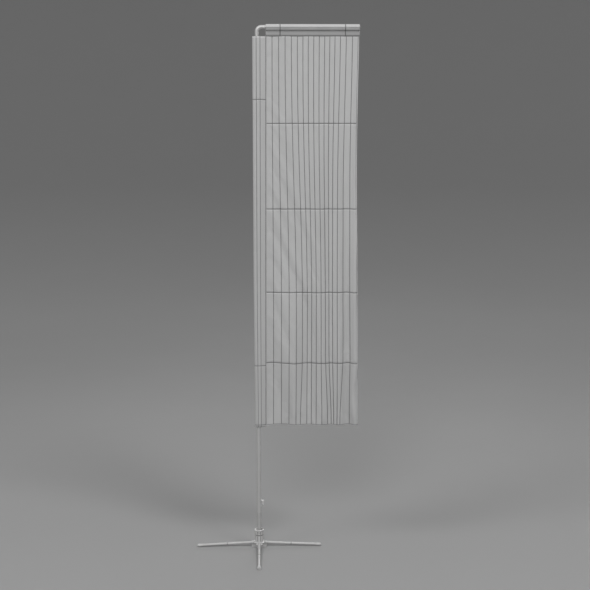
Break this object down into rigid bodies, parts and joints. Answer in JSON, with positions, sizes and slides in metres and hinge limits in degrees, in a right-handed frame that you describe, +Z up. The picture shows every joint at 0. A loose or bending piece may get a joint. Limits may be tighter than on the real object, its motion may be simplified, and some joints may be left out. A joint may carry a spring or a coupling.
{
  "type": "block feather flag with pole",
  "caption": "Free-standing rectangular feather flag: cloth banner sleeved on an L-shaped tube pole that turns on a bearing spindle in a folding cross base.",
  "frame": {"origin": "centre of the hub's underside, on the floor under the spindle axis", "axes": "+Z up along the spindle and pole; +X the way the flag and its arm reach at rest; legs lie along +X, +Y, -X and -Y"},
  "size_m": [1.1144, 0.8688, 3.6039],
  "materials": {
    "base_casting": "fine-textured powder coat",
    "turned_housing": "satin turned and anodised",
    "fasteners": "zinc plated",
    "bearing_steel": "ground",
    "spindle_steel": "ground and oiled",
    "nylon": "moulded nylon",
    "leg_tube": "powder coat",
    "leg_band": "moulded nylon",
    "foot_rubber": "moulded rubber",
    "pole_tube": "satin anodised",
    "foot_sleeve": "moulded plastic",
    "hook_plate": "powder coat",
    "sleeve_cloth": "doubled plain-weave polyester",
    "flag_cloth": "plain-weave polyester"
  },
  "bodies": {
    "base": {"hub_casting": "base_casting", "bearing_housing": "turned_housing", "housing_screws": "fasteners", "lower_bearing_outer_ring": "bearing_steel", "upper_bearing_outer_ring": "bearing_steel", "pivot_bolts": "fasteners", "pivot_nuts": "fasteners", "pivot_washers": "fasteners"},
    "spindle": {"spindle": "spindle_steel", "spindle_nut": "fasteners", "spindle_washer": "fasteners", "bearing_spacer": "fasteners", "lower_bearing_inner_ring": "bearing_steel", "upper_bearing_inner_ring": "bearing_steel", "lower_bearing_balls": "bearing_steel", "upper_bearing_balls": "bearing_steel", "rotating_collar": "turned_housing", "collar_grub_screws": "fasteners", "pole_seat_washer": "nylon"},
    "mast": {"pole_lower_tube": "pole_tube", "pole_middle_tube": "pole_tube", "pole_upper_tube": "pole_tube", "bent_tube": "pole_tube", "arm_tube": "pole_tube", "lower_spigot": "nylon", "middle_spigot": "nylon", "elbow_spigot": "nylon", "arm_spigot": "nylon", "arm_end_cap": "nylon", "pole_foot_sleeve": "foot_sleeve", "tension_hook": "hook_plate", "hook_rivets": "fasteners", "pole_sleeve": "sleeve_cloth", "top_sleeve": "sleeve_cloth", "flag_panel": "flag_cloth"},
    "leg_right": {"leg_right_tube": "leg_tube", "leg_right_band": "leg_band", "leg_right_bush": "nylon", "leg_right_foot": "foot_rubber"},
    "leg_back": {"leg_back_tube": "leg_tube", "leg_back_band": "leg_band", "leg_back_bush": "nylon", "leg_back_foot": "foot_rubber"},
    "leg_left": {"leg_left_tube": "leg_tube", "leg_left_band": "leg_band", "leg_left_bush": "nylon", "leg_left_foot": "foot_rubber"},
    "leg_front": {"leg_front_tube": "leg_tube", "leg_front_band": "leg_band", "leg_front_bush": "nylon", "leg_front_foot": "foot_rubber"}
  },
  "joints": [
    {"name": "flag_swivel", "type": "hinge", "parent": "base", "child": "spindle", "pos_m": [0, 0, 0.087], "axis": [0, 0, 1], "continuous": true},
    {"name": "pole_lift", "type": "slide", "parent": "spindle", "child": "mast", "axis": [0, 0, 1], "range_m": [0, 0.2]},
    {"name": "leg_right_fold", "type": "hinge", "parent": "base", "child": "leg_right", "pos_m": [0.045, 0, 0.028], "axis": [0, -1, 0], "range_deg": [0, 92.5]},
    {"name": "leg_back_fold", "type": "hinge", "parent": "base", "child": "leg_back", "pos_m": [0, 0.045, 0.028], "axis": [1, 0, 0], "range_deg": [0, 92.5]},
    {"name": "leg_left_fold", "type": "hinge", "parent": "base", "child": "leg_left", "pos_m": [-0.045, 0, 0.028], "axis": [0, 1, 0], "range_deg": [0, 92.5]},
    {"name": "leg_front_fold", "type": "hinge", "parent": "base", "child": "leg_front", "pos_m": [0, -0.045, 0.028], "axis": [-1, 0, 0], "range_deg": [0, 92.5]}
  ]
}
